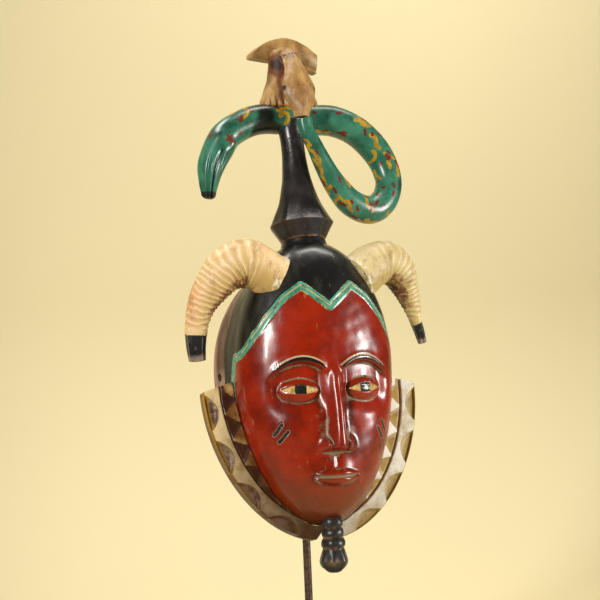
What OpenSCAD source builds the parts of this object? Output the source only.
// Carved and painted wooden mask with ram horns, a tall crest and a ringed beard, on an iron display stand.
// The mask faces -Y. The origin is on the table, under the stand's rod. Millimetres, +Z up.

/* [Head] */
// Width of the head across its open back
head_w = 174; // [145:1:210]
// How much each side wall draws in from the back rim to the face
side_taper = 5; // [0:0.5:10]
// Height of the chin's underside above the table
chin_z = 166; // [140:1:220]
// Height from the chin to the widest level of the head
jaw_h = 156; // [130:1:180]
// Height from the widest level to the crown
crown_h = 128; // [110:1:150]
// Height from the widest level to the top of the back rim
rim_h = 108; // [90:1:125]
// Depth of the straight side wall, from the back rim to the start of the face
side_depth = 50; // [40:1:65]
// Distance from the stand's rod back to the rim
rim_back = 15; // [10:1:25]
// Depth of the curved front, from the side wall to the middle of the face
face_depth = 57; // [45:1:70]
// Thickness of the carved wall at the sides
wall_t = 12; // [9:0.5:16]
// Thickness of the solid crown over the hollow
crown_t = 40; // [32:1:50]
// Diameter of the tie hole at each temple
tie_hole_d = 7; // [3:0.5:8]
// Distance from the back rim to the tie hole's axis
tie_hole_inset = 14; // [8:0.5:18]
// Height of the tie hole below the widest level of the head
tie_hole_drop = 5; // [0:1:15]

/* [Ruff] */
// How far each wing of the ruff stands out beyond the head's side
ruff_reach = 27; // [24:1:40]
// Depth of the ruff's lowest point below the chin's underside
ruff_below_chin = 14; // [8:1:25]
// Thickness of each wing
ruff_t = 14; // [11:0.1:18]
// Forward lean of the ruff towards the chin, in degrees
ruff_lean = 10; // [0:1:12]
// Width of the smooth outer band
band_w = 17; // [12:0.5:20]
// Depth to which the toothed inner band is cut back
band_step = 3; // [1:0.5:4]
// Number of gouged scallops along each wing
scallops = 4; // [3:1:6]
// Number of cut teeth along each wing
teeth = 6; // [4:1:8]
// Depth of the scallops and teeth
cut_depth = 2; // [1:0.25:3]

/* [Horns] */
// Diameter of each horn where it sits in the head
horn_base_d = 48; // [40:1:54]
// Overall size of the horns' curve, as a factor
horn_reach = 1.0; // [0.85:0.01:1.1]

/* [Crest] */
// Backward lean of the crest, in degrees
crest_lean = 10; // [0:1:15]
// Length of the post from its foot to the snake's axis
post_len = 130.5; // [110:0.5:150]
// Diameter of the post's foot
post_foot_d = 45; // [38:1:48]
// Diameter of the post's sharp bulge
post_bulge_d = 65; // [54:1:76]
// Diameter of the post's waist
post_waist_d = 24; // [22:1:32]
// Diameter of the snake's body where it crosses the post
snake_d = 32; // [26:1:39]
// Width of the bird's spread wings
wing_span = 73; // [66:1:90]

/* [Beard] */
// Length of the beard below the chin
beard_len = 51; // [40:1:60]
// Diameter of the beard at the chin
beard_top_d = 18; // [15:0.5:22]
// Diameter of the beard's bulb
beard_bulb_d = 29; // [24:0.5:34]

/* [Pegs] */
// Diameter of the dowels of the crest and the horns
dowel_d = 10; // [8:0.5:12]
// Diameter of the thin dowels of the snake, bird and beard
thin_dowel_d = 6; // [5:0.5:8]
// Diameter of the pegs of the ruff
ruff_peg_d = 6; // [4:0.5:7]
// How far a dowel goes into each of its two pieces
dowel_bite = 11; // [8:1:12]

/* [Stand] */
// Diameter of the iron rod
rod_d = 8; // [6:0.5:10]
// Width of the base block
base_w = 180; // [150:5:220]
// Depth of the base block
base_depth = 150; // [130:5:180]
// Height of the base block
base_t = 26; // [20:1:40]
// Thickness of the felt under the base
felt_t = 2; // [1:0.5:4]
// Distance from the rod forward to the base block's centre
base_forward = 24; // [10:1:35]
// Outer diameter of the leather sleeve that the chin leans on
sleeve_d = 20; // [16:0.5:24]

/* [Fits] */
// Clearance of a glued wooden joint, on each side
glue_gap = 0.1; // [0.05:0.05:0.3]
// Clearance between the mask and the stand
lift_gap = 0.4; // [0.3:0.1:1]

/* [Hidden] */

$fn = 64;
eps = 0.01;

// --- widths, heights and places that follow from the driving sizes ---
brow_w = head_w - 2 * side_taper;            // width where the face starts to curve
mid_z = chin_z + jaw_h;                      // widest level of the head
wall_y = rim_back - side_depth;              // where the side wall ends and the face starts
chin_rim_y = -8;                             // the back rim comes forward to here at the chin
crown_z = mid_z + crown_h;
seat = [0, wall_y + 8, crown_z];             // centre of the crest's foot
crest_axis = [0, sin(crest_lean), cos(crest_lean)];
snake_at = seat + post_len * crest_axis;     // snake's axis over the post
snake_r = snake_d / 2;
ruff_mid_y = wall_y + 9;                     // middle of the ruff's thickness, at its top
beard_y = wall_y - 35;
beard_seat_z = chin_z + 10;
tie_hole_z = mid_z - tie_hole_drop;
tie_hole_y = rim_back - tie_hole_inset;
socket_top_z = mid_z + crown_h - 28;
pad_t = 3;
rod_top_z = socket_top_z - lift_gap - pad_t;
base_top_z = felt_t + base_t;

// --- curves ---
function lerp(a, b, t) = a + (b - a) * t;
function clamp01(t) = min(1, max(0, t));
function smooth(t) = let (u = clamp01(t)) u * u * (3 - 2 * u);
function bell(x, w) = exp(-pow(x / w, 2));
function unit(v) = v / norm(v);

// A row of numbers on a smooth curve through the rows p, at part t of the span after row i
function curve_row(p, i, t) =
    let (a = p[max(i - 1, 0)], b = p[i], c = p[i + 1], d = p[min(i + 2, len(p) - 1)])
    0.5 * ((2 * b) + (c - a) * t + (2 * a - 5 * b + 4 * c - d) * t * t
        + (3 * b - a - 3 * c + d) * t * t * t);
function curve_rows(p, steps) = concat(
    [for (i = [0:len(p) - 2], k = [0:steps - 1]) curve_row(p, i, k / steps)], [p[len(p) - 1]]);
function point_of(row) = [row[0], row[1], row[2]];
function tangent(rows, i) =
    unit(point_of(rows[min(i + 1, len(rows) - 1)]) - point_of(rows[max(i - 1, 0)]));

// A tube through rows of [x, y, z, half width, half depth]; side is a direction that its depth leans to
module tube(rows, side, sides = 16) {
    count = len(rows);
    points = [for (i = [0:count - 1])
        let (t = tangent(rows, i), n = unit(side - (side * t) * t), b = cross(t, n))
        for (k = [0:sides - 1])
            point_of(rows[i]) + rows[i][3] * cos(k * 360 / sides) * b + rows[i][4] * sin(k * 360 / sides) * n];
    walls = [for (i = [0:count - 2], k = [0:sides - 1])
        let (a = i * sides + k, b = i * sides + (k + 1) % sides)
        for (f = [[a, a + sides, b], [b, a + sides, b + sides]]) f];
    first = [for (k = [0:sides - 1]) [count * sides, k, (k + 1) % sides]];
    far = (count - 1) * sides;
    last = [for (k = [0:sides - 1]) [count * sides + 1, far + (k + 1) % sides, far + k]];
    ends = [point_of(rows[0]), point_of(rows[count - 1])];
    polyhedron(concat(points, ends), concat(walls, first, last));
}

// A round hole or dowel about an axis from a point, reaching both ways
module along(at, axis, before, after, d) {
    turn = [0, acos(axis[2] / norm(axis)), atan2(axis[1], axis[0])];
    translate(at) rotate(turn) translate([0, 0, -before]) cylinder(h = before + after, d = d);
}

// --- the head ---
ring_sides = 56;

function rim_y(z) = lerp(chin_rim_y, rim_back, smooth((z - chin_z - 25) / 50));
// Outline of the head seen from the front, at an angle round its widest level
function outline(angle, half_w, up, down) =
    [half_w * cos(angle), mid_z + (sin(angle) > 0 ? up : down) * sin(angle)];
// How full the front is: rounder to the sides, squarer towards the chin
function fullness(angle) = 2.3 + 1.2 * pow(max(0, -sin(angle)), 3);
// Carved relief of the face, as a height over the plain front
function relief(x, z) =
    let (brow = chin_z + jaw_h + 5, nose = chin_z + jaw_h * 0.54, mouth = chin_z + jaw_h * 0.38)
    (7 + 9 * smooth((brow + 6 - z) / (brow - nose)))
        * bell(x, 8 + 5 * smooth((brow - z) / (brow - nose)))
        * smooth((brow + 10 - z) / 16) * smooth((z - nose + 8) / 8)
    + 4 * bell(z - mouth, 11) * bell(x, 24)
    - 5 * bell(z - brow + 17, 12) * (bell(x - 30, 20) + bell(x + 30, 20));

function side_ring(t, w0, w1, up0, up1, down0, down1) = [for (k = [0:ring_sides - 1])
    let (a = 360 * k / ring_sides,
         p = outline(a, lerp(w0, w1, t), lerp(up0, up1, t), lerp(down0, down1, t)))
    [p[0], lerp(rim_y(p[1]), wall_y, t), p[1]]];
function front_ring(r, half_w, up, down, depth, carved) = [for (k = [0:ring_sides - 1])
    let (a = 360 * k / ring_sides, p = outline(a, half_w * r, up * r, down * r), m = fullness(a))
    [p[0], wall_y - depth * pow(1 - pow(r, m), 1 / m) - (carved ? relief(p[0], p[1]) : 0), p[1]]];

module head_block() {
    inner_w = wall_t;
    outer = concat(
        [for (t = [0:0.25:1]) side_ring(t, head_w / 2, brow_w / 2, rim_h, crown_h, jaw_h, jaw_h)],
        [for (r = [0.985, 0.95, 0.9, 0.84, 0.77, 0.69, 0.61, 0.53, 0.45, 0.37, 0.29, 0.21, 0.13, 0.06])
            front_ring(r, brow_w / 2, crown_h, jaw_h, face_depth, true)]);
    inner = concat(
        [for (r = [0.1, 0.3, 0.5, 0.68, 0.82, 0.92, 0.98])
            front_ring(r, brow_w / 2 - inner_w, crown_h - crown_t, jaw_h - wall_t - 2,
                face_depth - wall_t - 3, false)],
        [for (t = [1:-0.25:0]) side_ring(t, head_w / 2 - inner_w, brow_w / 2 - inner_w,
            rim_h - wall_t - 9, crown_h - crown_t, jaw_h - wall_t - 2, jaw_h - wall_t - 2)]);
    rings = concat(outer, inner);
    n = ring_sides;
    points = concat([for (r = rings, p = r) p],
        [[0, wall_y - face_depth - relief(0, mid_z), mid_z], [0, wall_y - face_depth + wall_t + 3, mid_z]]);
    outer_pole = len(rings) * n;
    function band(i, j) = [for (k = [0:n - 1])
        let (a = i * n + k, b = i * n + (k + 1) % n, c = j * n + k, d = j * n + (k + 1) % n)
        for (f = [[a, b, c], [b, d, c]]) f];
    function fan(i, pole, flip) = [for (k = [0:n - 1])
        let (a = i * n + k, b = i * n + (k + 1) % n) flip ? [pole, b, a] : [pole, a, b]];
    last_outer = len(outer) - 1;
    faces = concat(
        [for (i = [0:last_outer - 1], f = band(i, i + 1)) f],
        fan(last_outer, outer_pole, false),
        fan(len(outer), outer_pole + 1, true),
        [for (i = [len(outer):len(rings) - 2], f = band(i, i + 1)) f],
        band(len(rings) - 1, 0));
    polyhedron(points, [for (f = faces) [f[2], f[1], f[0]]]);
}

module head() {
    color("firebrick") difference() {
        union() {
            head_block();
            along(seat, crest_axis, 22, 0, post_foot_d);
        }
        along(seat, crest_axis, dowel_bite, 5, dowel_d + 2 * glue_gap);
        for (side = [-1, 1]) {
            along(horn_seat(side), horn_axis(side), 0, 60, horn_base_d + 2 * glue_gap);
            along(horn_seat(side), horn_axis(side), dowel_bite, 5, dowel_d + 2 * glue_gap);
            along([side * head_w / 2, tie_hole_y, tie_hole_z], [1, 0, 0], 30, 30, tie_hole_d);
            for (z = ruff_peg_drops())
                ruff_peg(side, z, dowel_bite - 2 + glue_gap, 20, ruff_peg_d + 2 * glue_gap);
        }
        along([0, beard_y, beard_seat_z], [0, 0, 1], 40, 0, beard_top_d + 2);
        along([0, beard_y, beard_seat_z], [0, 0, 1], 5, dowel_bite, thin_dowel_d + 2 * glue_gap);
        along([0, 0, mid_z], [0, 0, 1], 0, socket_top_z - mid_z, rod_d + 2 * lift_gap);
        along([0, 0, chin_z], [0, 0, 1], 20, 40, sleeve_d + 2 * lift_gap);
    }
}

// --- the ruff ---
// Each wing is drawn in its own leaning plane: x from the middle, z down from its top
ruff_half_w = head_w / 2 + ruff_reach;
ruff_top_z = mid_z - 20;
ruff_drop = (ruff_top_z - (chin_z - ruff_below_chin)) / cos(ruff_lean);
ruff_fullness = 1.9;
ruff_gap = 0.3;
chin_drop = (ruff_top_z - chin_z) / cos(ruff_lean);

// Half width of the head's side wall at a depth and height
function head_half(y, z) =
    let (t = clamp01((rim_y(z) - y) / (rim_y(z) - wall_y)))
    lerp(head_w, brow_w, t) / 2 * sqrt(max(0, 1 - pow((z - mid_z) / jaw_h, 2)));
function ruff_place(x, z) = [x, ruff_mid_y + z * sin(ruff_lean), ruff_top_z + z * cos(ruff_lean)];
// Inner edge of a wing: the head's half width where the wing's thickness meets the widest part of it
function ruff_inner(z) = ruff_gap
    + head_half(ruff_place(0, z)[1] + ruff_t / 2, ruff_place(0, z)[2] + ruff_t / 2 * sin(ruff_lean));
// Points of the outer edge drawn in by inset, from the top corner (t = 0) to the notch (t = 1)
function ruff_edge(t, inset) =
    let (a = 83 * t, c = cos(a), s = sin(a), k = 2 / ruff_fullness)
    [(ruff_half_w - inset) * pow(c, k), -(ruff_drop - inset) * pow(s, k)];
function ruff_outline() =
    let (steps = 40, low = -chin_drop, top_in = 9)
    concat([for (i = [0:steps]) ruff_edge(i / steps, 0)],
        [[0.6, low]],
        [for (i = [1:steps]) let (z = lerp(low, top_in, pow(i / steps, 2))) [ruff_inner(z), z]]);
function ruff_peg_drops() = [-33, -80];

// A round hole or peg across a wing's inner edge, from the head into the wing
module ruff_peg(side, z, into_head, into_wing, d) {
    at = ruff_place(side * (ruff_inner(z) - ruff_gap), z) + [0, 2.2, 0];
    along(at, [side, 0, 0], into_head, into_wing, d);
}

// A shape drawn in the front plane (x, z), from a front face back to a depth
module front_prism(front, depth) {
    translate([0, front + depth, 0]) rotate([90, 0, 0]) linear_extrude(depth) children();
}

// Gouged leaf that touches the outer edge between two places along it
module scallop(from, to) {
    steps = 12;
    polygon(concat(
        [for (i = [0:steps]) ruff_edge(lerp(from, to, i / steps), 1.5)],
        [for (i = [steps - 1:-1:1])
            let (u = i / steps) ruff_edge(lerp(from, to, u), 1.5 + (band_w - 6) * sin(180 * u))]));
}

module tooth(from, to, inner_inset) {
    polygon([ruff_edge(from, band_w + 1), ruff_edge((from + to) / 2, inner_inset), ruff_edge(to, band_w + 1)]);
}

module ruff(side) {
    front = -ruff_t / 2;
    mirror([side > 0 ? 0 : 1, 0, 0]) difference() {
        translate([0, ruff_mid_y, ruff_top_z]) rotate([-ruff_lean, 0, 0]) difference() {
            front_prism(front, ruff_t) polygon(ruff_outline());
            // the inner band is cut back, from the outer band's edge to the head
            front_prism(front - 1, band_step + 1) difference() {
                polygon(concat([for (i = [0:40]) ruff_edge(i / 40, band_w)],
                    [[0, -ruff_drop + band_w], [0, 40], [ruff_half_w - band_w, 40]]));
                translate([-1, -ruff_drop - 1]) square([3, ruff_drop]);
            }
            front_prism(front - 1, cut_depth + 1) for (i = [0:scallops - 1])
                scallop(0.03 + 0.86 * i / scallops, 0.03 + 0.86 * (i + 0.9) / scallops);
            front_prism(front, band_step + cut_depth) for (i = [0:teeth - 1])
                tooth(0.02 + 0.8 * i / teeth, 0.02 + 0.8 * (i + 0.94) / teeth, band_w + 11);
        }
        for (z = ruff_peg_drops())
            ruff_peg(1, z, 20, dowel_bite + glue_gap, ruff_peg_d + 2 * glue_gap);
    }
}

module ruff_left() { color("wheat") ruff(-1); }
module ruff_right() { color("wheat") ruff(1); }

module ruff_pegs() {
    color("burlywood") for (side = [-1, 1], z = ruff_peg_drops())
        ruff_peg(side, z, dowel_bite - 2, dowel_bite, ruff_peg_d);
}

// --- the horns ---
// Each is hand carved, so the two differ. Rows are places from the seat, and a radius as a share of the base's
function horn_seat(side) =
    [side * brow_w / 2 * (side < 0 ? 0.47 : 0.54), wall_y - 16, mid_z + crown_h * 0.69];
function horn_axis(side) = unit([side * 0.87, 0.08, 0.48]);
left_horn_rows = [
    [0, 0, 0, 1], [-8, 1, 4.5, 0.97], [-17.5, 2, 11.2, 0.95], [-34, 4, 17, 1.04], [-52, 7, 10, 0.93],
    [-65, 11, -5, 0.78], [-75, 15, -22, 0.61], [-80, 18, -41, 0.5], [-81, 20, -60, 0.43],
    [-80, 21, -76, 0.36]];
right_horn_rows = [
    [0, 0, 0, 1], [7, 1, 4, 0.97], [20, 2, 13, 0.93], [37, 4, 16, 0.92], [51, 7, 7, 0.8],
    [60, 11, -8, 0.61], [68, 15, -25, 0.43], [74, 18, -42, 0.29], [79, 20, -55, 0.24],
    [82.5, 21, -66, 0.19]];

module horn(side, rows) {
    r = horn_base_d / 2;
    base = horn_seat(side);
    placed = [for (row = rows) [base[0] + horn_reach * row[0], base[1] + horn_reach * row[1],
        base[2] + horn_reach * row[2], r * row[3], r * row[3]]];
    // the first rows follow the seat's axis, so that the foot is flat on it
    foot = [for (d = [0, 3]) concat(base + d * horn_axis(side), [r, r])];
    difference() {
        tube(concat(foot, [for (row = curve_rows([for (i = [1:len(rows) - 1]) placed[i]], 3)) row]),
            [0, 1, 0], 20);
        along(base, horn_axis(side), 5, dowel_bite + glue_gap, dowel_d + 2 * glue_gap);
    }
}

module horn_left() { color("tan") horn(-1, left_horn_rows); }
module horn_right() { color("tan") horn(1, right_horn_rows); }

module horn_dowels() {
    color("burlywood") for (side = [-1, 1])
        along(horn_seat(side), horn_axis(side), dowel_bite - glue_gap, dowel_bite, dowel_d);
}

// --- the crest ---
saddle_gap = 0.3;
module saddle(grow) { along(snake_at - [60, 0, 0], [1, 0, 0], 0, 120, snake_d + 2 * grow); }

module crest_post() {
    foot = post_foot_d / 2;
    bulge = post_bulge_d / 2;
    waist = post_waist_d / 2;
    bulge_at = 17;
    neck_at = post_len - 24;
    top_r = 17;
    color("#1c1a1b") difference() {
        translate(seat) rotate([-crest_lean, 0, 0]) rotate_extrude() polygon(concat(
            [[0, 0], [foot, 0], [bulge, bulge_at]],
            [for (i = [1:12]) let (u = i / 12)
                [lerp(bulge, waist, 1 - pow(1 - u, 2.5)), lerp(bulge_at, neck_at, u)]],
            [for (i = [1:5]) let (u = i / 5) [lerp(waist, top_r, u * u), lerp(neck_at, post_len - 4, u)]],
            [[0, post_len - 4]]));
        saddle(saddle_gap);
        along(seat, crest_axis, 5, dowel_bite + glue_gap, dowel_d + 2 * glue_gap);
        along(snake_at - snake_r * crest_axis, crest_axis, dowel_bite + glue_gap, 10,
            thin_dowel_d + 2 * glue_gap);
    }
}

module crest_dowel() {
    color("burlywood") along(seat, crest_axis, dowel_bite - glue_gap, dowel_bite, dowel_d);
}

// Rows are places from the snake's axis over the post, and a radius as a share of the body's
snake_rows = [
    [-92, -6, -78, 0.42], [-91, -6, -66, 0.62], [-88, -5.5, -50, 0.86], [-80, -4, -32, 0.98],
    [-68, -2, -16, 0.98], [-49, -0.5, -5, 0.98], [-26, 0, 0, 0.99], [0, 0, 0, 1], [26, 0, 0, 1],
    [49, -3, -2, 1.02], [71, -6, -12, 1], [89, -9, -30, 0.96], [99, -12, -49, 0.9],
    [101, -16, -69, 0.88], [92, -20, -87, 0.9], [74, -24, -96, 0.93], [52, -28, -89, 0.88],
    [34.5, -31, -71, 0.75], [21.5, -33, -50, 0.63], [12.5, -34, -33, 0.54], [4.5, -33.8, -17, 0.5],
    [2.5, -33.4, -4.8, 0.52]];

module snake() {
    color("seagreen") difference() {
        tube(curve_rows([for (row = snake_rows)
            concat(snake_at + [row[0], row[1], row[2]], [snake_r * row[3], snake_r * row[3]])], 4),
            [0, 1, 0], 16);
        along(snake_at - snake_r * crest_axis, crest_axis, 5, dowel_bite + glue_gap,
            thin_dowel_d + 2 * glue_gap);
        for (x = bird_dowel_places())
            along(snake_at + [x, 0, snake_r], [0, 0, 1], 9, 5, thin_dowel_d + 2 * glue_gap);
    }
}

module snake_dowel() {
    color("burlywood") along(snake_at - snake_r * crest_axis, crest_axis, dowel_bite, dowel_bite, thin_dowel_d);
}

// The bird stands on the snake, spreads its wings and bends down to bite the snake's tail
function bird_dowel_places() = [-14, 14];
beak_gap = 0.3;

// A shape drawn in the side plane (y, z), as wide as w about the middle
module side_prism(w) {
    translate([-w / 2, 0, 0]) rotate([90, 0, 90]) linear_extrude(w) children();
}

// The two halves of an outline that is the same on both sides, from rows of [half width, z]
function both_sides(rows) = concat(rows, [for (i = [len(rows) - 1:-1:0]) [-rows[i][0], rows[i][1]]]);

module bird() {
    s = wing_span / 73;
    wide = wing_span + 20;
    color("burlywood") difference() {
        translate(snake_at) union() {
            intersection() {
                side_prism(wide) polygon([[-13, 6], [15, 6], [16, 24], [21, 50], [22, 74], [8, 80],
                    [-4, 72], [-8, 48], [-13, 28]]);
                front_prism(-60, 120) polygon(both_sides([[32, 6], [31, 18], [26 * s, 28], [21 * s, 42],
                    [19 * s, 56], [18 * s, 80]]));
            }
            intersection() {
                side_prism(wide) polygon([[6, 60], [0, 74], [-10, 72], [-24, 60], [-33, 44], [-38, 30],
                    [-41.5, 16], [-42, -3.3], [-25, -3.3], [-23, 10], [-18, 26], [-16, 40], [-11, 52]]);
                front_prism(-60, 120) polygon(both_sides([[8.5, -4], [9.5, 4], [15, 14], [17.5, 22],
                    [17.5, 30], [14, 40], [10.5, 50], [10, 62], [9, 76]]));
            }
            wings(s);
        }
        saddle(saddle_gap);
        for (x = bird_dowel_places())
            along(snake_at + [x, 0, snake_r], [0, 0, 1], 5, 10, thin_dowel_d + 2 * glue_gap);
    }
}

// Spread wings: a crescent as thick as a plank, whose tips droop
module wings(s) {
    span = wing_span / 2;
    top = [for (i = [-10:10]) let (u = i / 10) [span * u, 86 - 17 * u * u]];
    under = [for (i = [10:-1:-10]) let (u = i / 10) [span * 0.95 * u, 62 - 12 * pow(abs(u), 3)]];
    front_prism(4, 18) polygon(concat(top, under));
}

module bird_dowels() {
    color("burlywood") for (x = bird_dowel_places())
        along(snake_at + [x, 0, snake_r], [0, 0, 1], 8, 9, thin_dowel_d);
}

// --- the beard ---
module beard() {
    top = beard_top_d / 2;
    bulb = beard_bulb_d / 2;
    len_all = beard_len + beard_seat_z - chin_z - 7;
    rings = 3;
    ring_h = len_all * 0.55 / rings;
    ring_foot = len_all - rings * ring_h;
    color("#232224") difference() {
        translate([0, beard_y, beard_seat_z - len_all]) rotate_extrude() polygon(concat(
            [[0, 0], [bulb * 0.42, 0], [bulb * 0.93, len_all * 0.13], [bulb, len_all * 0.2],
                [bulb * 0.9, len_all * 0.33], [bulb * 0.72, ring_foot - 0.5]],
            [for (i = [0:rings - 1], k = [0:4])
                let (u = k / 5, swell = lerp(bulb * 0.76, top * 0.92, (i + u) / rings))
                [swell + 1.2 * sin(180 * u), ring_foot + (i + u) * ring_h]],
            [[top, len_all - 1], [top, len_all], [0, len_all]]));
        along([0, beard_y, beard_seat_z], [0, 0, 1], dowel_bite + glue_gap, 5, thin_dowel_d + 2 * glue_gap);
    }
}

module beard_dowel() {
    color("burlywood") along([0, beard_y, beard_seat_z], [0, 0, 1], dowel_bite, dowel_bite - glue_gap,
        thin_dowel_d);
}

// --- the stand ---
nut_flats = rod_d * 1.6;
nut_h = rod_d * 0.8;
washer_t = 1.6;
recess_h = nut_h + washer_t + 2;
recess_d = nut_flats * 1.2 + 8;
flange_t = 4;
rod_foot_z = felt_t + 1.5;
rod_hole_gap = 0.25;

module base_block() {
    bevel = 3;
    color("#2a2320") difference() {
        translate([0, -base_forward, felt_t]) hull() {
            translate([-base_w / 2, -base_depth / 2, 0]) cube([base_w, base_depth, base_t - bevel]);
            translate([-base_w / 2 + bevel, -base_depth / 2 + bevel, base_t - bevel])
                cube([base_w - 2 * bevel, base_depth - 2 * bevel, bevel]);
        }
        translate([0, 0, felt_t - 1]) cylinder(h = base_t + 5, d = rod_d + 2 * rod_hole_gap);
        translate([0, 0, felt_t - 1]) cylinder(h = recess_h + 1, d = recess_d);
    }
}

module base_felt() {
    inset = 2;
    color("darkgreen") translate([-base_w / 2 + inset, -base_forward - base_depth / 2 + inset, 0])
        cube([base_w - 2 * inset, base_depth - 2 * inset, felt_t]);
}

module stand_rod() {
    color("#4a342b") translate([0, 0, rod_foot_z]) cylinder(h = rod_top_z - rod_foot_z, d = rod_d);
}

// A round plate brazed to the rod, which stands on the block
module rod_flange() {
    color("#4a342b") translate([0, 0, base_top_z]) difference() {
        cylinder(h = flange_t, d = rod_d * 3.5);
        translate([0, 0, -1]) cylinder(h = flange_t + 2, d = rod_d + 0.04);
    }
}

module rod_washer() {
    color("silver") translate([0, 0, felt_t + recess_h - washer_t]) difference() {
        cylinder(h = washer_t, d = nut_flats * 1.35);
        translate([0, 0, -1]) cylinder(h = washer_t + 2, d = rod_d + 2 * rod_hole_gap);
    }
}

module rod_nut() {
    color("silver") translate([0, 0, felt_t + recess_h - washer_t - nut_h]) difference() {
        cylinder(h = nut_h, d = nut_flats / cos(30), $fn = 6);
        translate([0, 0, -1]) cylinder(h = nut_h + 2, d = rod_d + 0.04);
    }
}

// Leather sleeve on the rod, which the chin's rim leans on
module chin_sleeve() {
    color("saddlebrown") translate([0, 0, chin_z - 6]) difference() {
        cylinder(h = 40, d = sleeve_d);
        translate([0, 0, -1]) cylinder(h = 42, d = rod_d + 0.04);
    }
}

// Leather disc on the rod's end, at the top of the socket in the crown
module rod_tip_pad() {
    color("saddlebrown") translate([0, 0, rod_top_z]) cylinder(h = pad_t, d = rod_d - 0.4);
}

base_block();
base_felt();
stand_rod();
rod_flange();
rod_washer();
rod_nut();
chin_sleeve();
rod_tip_pad();
head();
ruff_left();
ruff_right();
ruff_pegs();
horn_left();
horn_right();
horn_dowels();
crest_post();
crest_dowel();
snake();
snake_dowel();
bird();
bird_dowels();
beard();
beard_dowel();
